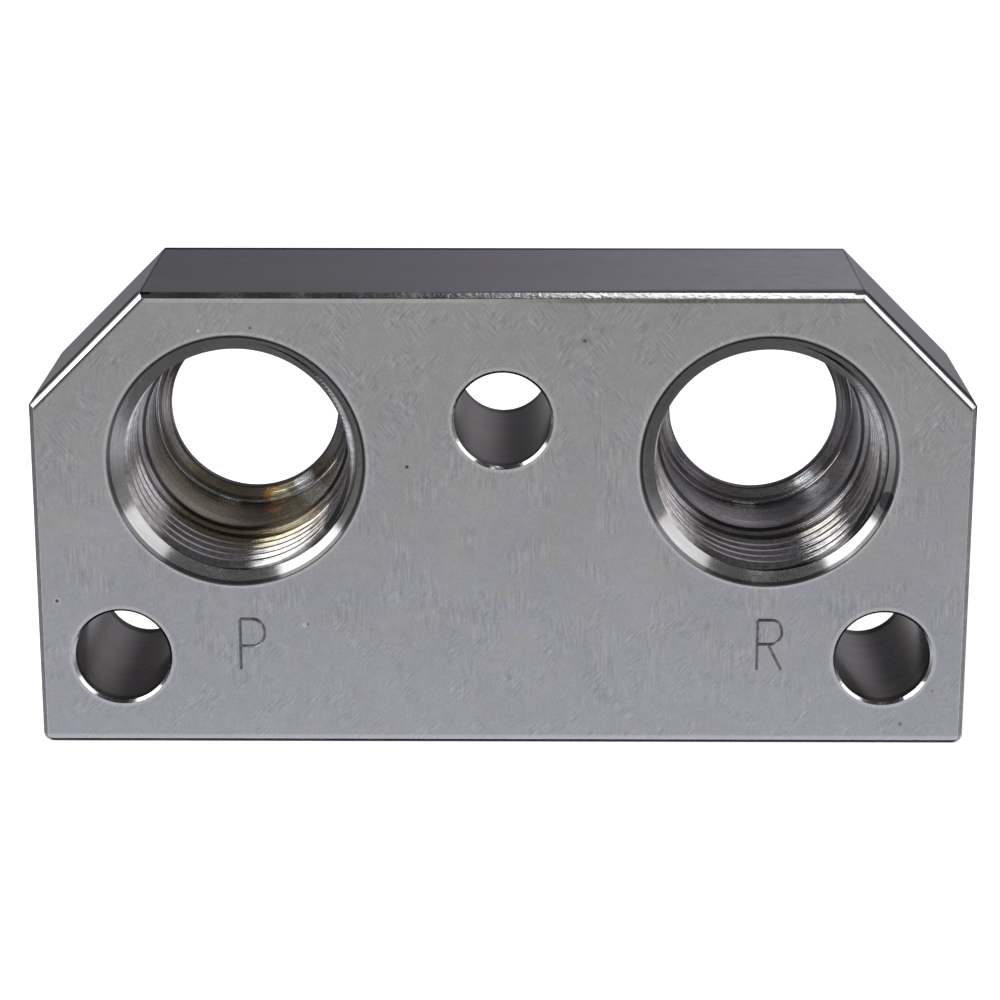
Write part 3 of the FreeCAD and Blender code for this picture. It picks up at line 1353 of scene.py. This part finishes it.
@dataclass(frozen=True)
class Palette:
    """The materials of the block.

    Args:
        plan: the block's box and holes.
    """

    plan: BlockPlan

    def rings(self) -> tuple[HighlightRing, ...]:
        """Give the painted highlight rings round the holes of the front face.

        Returns:
            One ring for each port and tie rod hole.
        """
        radii = {"port": Port.mouth, "tie_hole": TieHole.radius + TieHole.rim}
        return tuple(HighlightRing(self.plan.on_front(name), radius) for name in self.plan.mounts
                     for kind, radius in radii.items() if name.startswith(kind))

    def ports(self) -> list[TurnedSteel]:
        """Give the finishes inside the two ports.

        Returns:
            The finishes in order from the mouth to the passage.
        """
        left, right = self.plan.on_front("port_left"), self.plan.on_front("port_right")
        wash = Spot((left.x, 6.0 * MM, left.z - 10.0 * MM), 14.0 * MM, (0.34, 0.285, 0.17), core=0.6)
        brown = wall_spot(left, 81, 12.5, 12.5, 1.6, (0.40, 0.26, 0.14))
        # painted dark reflection on the right countersink, next to where its highlight starts
        painted_dark_patch = wall_spot(right, 19, 13.9, 0.35, 1.2, (0.09, 0.09, 0.10), core=0.8)
        # painted highlights and reflections: golden glints in the left port, bright sheen on the lips and in
        # the right bore
        glints = [
            wall_spot(left, 80, 10.9, 23.6, 1.4, (1.0, 0.50, 0.12)),
            wall_spot(left, 75, 11.4, 23.1, 1.5, (1.0, 0.93, 0.62), core=0.7),
            wall_spot(left, 77, 11.6, 19.2, 1.3, (1.0, 0.50, 0.20)),
            wall_spot(left, 57, 10.6, 23.9, 1.6, (0.95, 0.97, 1.0), core=0.6),
            wall_spot(right, 54, 10.7, 23.8, 1.5, (0.90, 0.95, 1.0), core=0.6),
            wall_spot(right, 56, 11.6, 16.0, 2.4, (1.0, 0.97, 0.95), core=0.5),
            wall_spot(right, 50, 11.6, 19.6, 2.4, (0.95, 0.97, 1.0), core=0.5),
            wall_spot(right, 57, 11.6, 21.8, 1.8, (0.95, 0.97, 1.0), core=0.5),
        ]
        # the tone rings paint shade at the mouth, the thread's ends, the step, the lip and the far rim, and a
        # highlight in the bore
        return [
            TurnedSteel(
                Finish.COUNTERSUNK, (0.39, 0.39, 0.395), 0.15, right, relief=0.0003 * MM, smear=0.0,
                stained=0.1, change=0.14, tones=[ToneRing(0.08, 0.34, 0.7)], spots=[painted_dark_patch], metallic=0.8),
            TurnedSteel(
                Finish.TAPPED, (0.46, 0.45, 0.45), 0.10, right, relief=0.002 * MM, smear=0.005 * MM,
                change=0.45, painted_shade=13.2 * MM, spots=[wash, brown],
                tones=[ToneRing(1.9, 2.1, 0.7), ToneRing(12.2, 12.9, 0.5, fade=0.3)]),
            TurnedSteel(
                Finish.BORED, (0.42, 0.41, 0.43), 0.14, right, mark=0.3 * MM, relief=0.003 * MM,
                smear=0.020 * MM, change=0.25, spots=[wash, *glints], metallic=0.85,
                tones=[ToneRing(13.05, 13.5, 0.85), ToneRing(14.4, 15.6, -0.35, fade=0.6),
                       ToneRing(22.5, 22.85, 0.6), ToneRing(23.4, 23.55, 0.5),
                       ToneRing(24.15, 26.0, 0.97, fade=0.02)]),
            TurnedSteel(
                Finish.WORN, (0.60, 0.59, 0.60), 0.12, right, relief=0.001 * MM, smear=0.003 * MM,
                spots=glints[:3]),
        ]

    def tie_holes(self) -> TurnedSteel:
        """Give the finish of the tie rod holes."""
        # the dark colour stands in for the shade inside the holes, and the two darker rings are painted shade
        # near both ends
        return TurnedSteel(
            Finish.DRILLED, (0.19, 0.182, 0.19), 0.30, self.plan.on_front("tie_hole_right"), change=0.35,
            tones=[ToneRing(0.2, 1.4, 0.85, fade=0.4), ToneRing(23.6, 26.0, 0.97, fade=0.2)])

    def make(self) -> dict[Finish, bpy.types.Material]:
        """Make the material of every finish.

        Returns:
            The materials by finish.
        """
        face, half_width, height = self.plan.low.y, self.plan.high.x, self.plan.high.z
        corner = half_width - Plate.shoulder
        steels = (
            GroundSteel(Finish.GROUND, self.rings(), face, height, corner + height),
            BrokenEdge(Finish.EDGE, face, half_width, corner + height),
            MilledSteel(Finish.MILLED, half_width, height, corner, face),
            StampedSteel(Finish.STAMPED),
            *self.ports(),
            self.tie_holes(),
        )
        return {steel.finish: steel.make() for steel in steels}


@dataclass
class Softbox:
    """A rectangular studio light that faces the block.

    Args:
        name: the light's name.
        azimuth: degrees to the right of straight in front of the block.
        elevation: degrees above the floor.
        distance: from the block's middle.
        width: the light's width.
        height: the light's height.
        radiance: brightness of its face.
    """

    name: str
    azimuth: float
    elevation: float
    distance: float
    width: float
    height: float
    radiance: float

    def build(self, target: Vector) -> None:
        """Put the light in the scene.

        Args:
            target: the point that it faces.
        """
        turn, rise = math.radians(self.azimuth), math.radians(self.elevation)
        towards = Vector((math.sin(turn) * math.cos(rise), -math.cos(turn) * math.cos(rise), math.sin(rise)))
        lamp = bpy.data.lights.new(self.name, "AREA")
        lamp.shape = "RECTANGLE"
        lamp.size, lamp.size_y = self.width, self.height
        lamp.energy = self.radiance * math.pi * self.width * self.height
        light = bpy.data.objects.new(self.name, lamp)
        light.location = target + towards * self.distance
        light.rotation_euler = towards.to_track_quat("Z", "Y").to_euler()
        light.visible_camera = False
        bpy.context.scene.collection.objects.link(light)


@dataclass(frozen=True)
class Wall:
    """A lit part of the room, with soft edges.

    Args:
        light: its brightness, as a share of the room's.
        right: how far to the right a direction points where the wall begins, and where it is full.
        back: the same for how far back it points, or None for any.
        up: the same for how far up it points, or None for any.
    """

    light: float
    right: Point
    back: Point | None = None
    up: Point | None = None

    def seen(self, x: Value, y: Value, z: Value) -> Value:
        """Give the light of the wall in a direction that points so far right, back and up."""
        spans = ((x, self.right), (y, self.back), (z, self.up))
        return math.prod((part.ramp(*span) for part, span in spans if span), start=self.light)


@dataclass
class Studio:
    """White floor and backdrop, a dim room round them, and soft lights.

    Args:
        target: the point that the lights face.
        floor_half: half the floor's width.
        floor_gap: how far the floor lies below the block.
        floor_glow: the floor's own light, which keeps it white where the room is dim.
        table: colour of the floor as the steel mirrors it.
        horizon: its colour where it meets the room.
        room: colour of the room as the steel mirrors it.
        shade: how far up directions point where the shade under the block is full, and where it ends.
        shade_light: the light that is left there.
        sideways: how far back directions point where the table is dimmest.
        side_reach: how far from there the table is bright again, and up to where it is dimmest.
        side_light: the light that is left there.
        table_right: the brighter part of the table at the right.
        walls: the lit walls of the room.
        dim: the light of the room between them.
        ceiling: how far up directions point where the ceiling begins, and where it is full.
        ceiling_light: its light, as a share of the room's.
    """

    target: Vector
    floor_half: float = 3.0
    floor_gap: float = 0.02 * MM
    floor_glow: float = 0.75
    table: Colour = (0.93, 0.95, 1.02)
    horizon: Colour = (0.26, 0.25, 0.25)
    room: Colour = (0.98, 0.95, 1.02)
    shade: Point = (-0.95, -0.72)
    shade_light: float = 0.04
    sideways: float = 0.15
    side_reach: Point = (0.45, 0.10)
    side_light: float = 0.55
    table_right: Wall = Wall(0.12, right=(0.55, 0.90))
    walls: tuple[Wall, ...] = (
        Wall(0.34, right=(-0.16, 0.30), back=(0.4, 0.9)),
        Wall(0.75, right=(0.40, 0.58), back=(-0.25, -0.50), up=(0.50, 0.36)),
        Wall(0.25, right=(0.55, 0.90)),
    )
    dim: float = 0.12
    ceiling: Point = (0.75, 0.93)
    ceiling_light: float = 0.25

    def build(self) -> None:
        """Build the floor, the room and the lights."""
        self.build_room()
        self.build_floor()
        for light in (
            Softbox("left_light", -78.0, 37.3, distance=0.8, width=0.65, height=0.545, radiance=3.0),
            Softbox("front_left_light", -44.0, 35.0, distance=0.5, width=0.287, height=0.194, radiance=3.0),
            Softbox("right_light", 76.0, 30.0, distance=2.0, width=1.25, height=1.2, radiance=1.6),
            Softbox("ceiling_light", 81.0, 79.4, distance=0.736, width=0.34, height=0.20, radiance=2.2),
        ):
            light.build(self.target)

    def table_light(self, x: Value, y: Value, z: Value) -> Value:
        """Give the light from below: dark close under the block, and dimmer towards both sides.

        Args:
            x: how far a direction points to the right.
            y: how far it points back.
            z: how far it points up.

        Returns:
            The light, as a multiple of the full light.
        """
        under = z.ramp(*self.shade).blend(self.shade_light, 1.0)
        sides = (y - self.sideways).size().ramp(*self.side_reach).blend(1.0, self.side_light)
        return under * sides + self.table_right.seen(x, y, z)

    def room_light(self, x: Value, y: Value, z: Value) -> Value:
        """Give the light from the room: walls at the back right, front right and right, dim overhead.

        Args:
            x: how far a direction points to the right.
            y: how far it points back.
            z: how far it points up.

        Returns:
            The light, as a multiple of the full light.
        """
        walls = sum(wall.seen(x, y, z) for wall in self.walls)
        return (walls + self.dim) * z.ramp(*self.ceiling).blend(1.0, self.ceiling_light)

    def build_room(self) -> None:
        """Make the room: white where the camera looks, and dim greys where the steel mirrors it."""
        world = bpy.data.worlds.new("studio_room")
        bpy.context.scene.world = world
        tree = Tree(world)
        x, y, z = tree.place("Generated")
        floor = tree.mix(z.ramp(-0.05, -0.5), self.horizon, self.table)
        colour = tree.mix(z.ramp(-0.08, 0.12), tree.tint(floor, self.table_light(x, y, z)),
                          tree.tint(self.room, self.room_light(x, y, z)))
        seen = tree.node("ShaderNodeLightPath", {}, {}).outputs["Is Camera Ray"]
        mixed = tree.mix(Value(tree, seen), colour, WHITE)
        shader = tree.node("ShaderNodeBackground", {}, {"Color": mixed, "Strength": 1.0})
        tree.node("ShaderNodeOutputWorld", {}, {"Surface": shader.outputs[0]})

    def build_floor(self) -> None:
        """Lay the plain pale floor."""
        shape = bmesh.new()
        bmesh.ops.create_grid(shape, x_segments=1, y_segments=1, size=self.floor_half)
        mesh = bpy.data.meshes.new("floor")
        shape.to_mesh(mesh)
        shape.free()
        floor = bpy.data.objects.new("floor", mesh)
        bpy.context.scene.collection.objects.link(floor)
        floor.location.z = -self.floor_gap
        material = bpy.data.materials.new("white_floor")
        tree = Tree(material)
        shader = tree.node("ShaderNodeBsdfPrincipled", {}, {
            "Base Color": (0.9, 0.9, 0.9, 1.0), "Roughness": 0.9,
            "Emission Color": as_input(WHITE), "Emission Strength": self.floor_glow})
        tree.node("ShaderNodeOutputMaterial", {}, {"Surface": shader.outputs[0]})
        mesh.materials.append(material)
        floor.visible_glossy = False


@dataclass
class PhotoCamera:
    """The camera at the photograph's viewing angle.

    Args:
        place: where it stands.
        pitch: degrees that it looks down.
        swing: degrees that it turns to the left.
        focal_length: in millimetres, for a sensor that is sensor_width wide.
        sensor_width: in millimetres.
    """

    place: tuple[float, float, float] = (1.947 * MM, -326.748 * MM, 121.78 * MM)
    pitch: float = 16.467
    swing: float = 0.406
    focal_length: float = 105.93
    sensor_width: float = 36.0

    def build(self) -> None:
        """Put the camera in the scene."""
        data = bpy.data.cameras.new("photo_camera")
        data.lens = self.focal_length
        data.sensor_width = self.sensor_width
        camera = bpy.data.objects.new("photo_camera", data)
        camera.location = self.place
        camera.rotation_euler = (math.radians(90 - self.pitch), 0, math.radians(self.swing))
        bpy.context.scene.collection.objects.link(camera)
        bpy.context.scene.camera = camera
        bpy.context.scene.view_settings.view_transform = "Standard"


def main() -> None:
    """Build the block and its studio, and report each piece."""
    logging.basicConfig(level=logging.INFO, format="%(message)s")
    mounts = {mount["name"]: mount for mount in frame["record"]["mounts"]}
    plan = BlockPlan(*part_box(NODE), mounts)
    block = EndBlock(plan).machine(Palette(plan).make())
    LOG.info("%s: %d faces", block.name, len(block.data.polygons))
    Studio((plan.low + plan.high) / 2).build()
    PhotoCamera().build()
    LOG.info("studio: %d lights", len(bpy.data.lights))


if __name__ == "__main__":
    main()
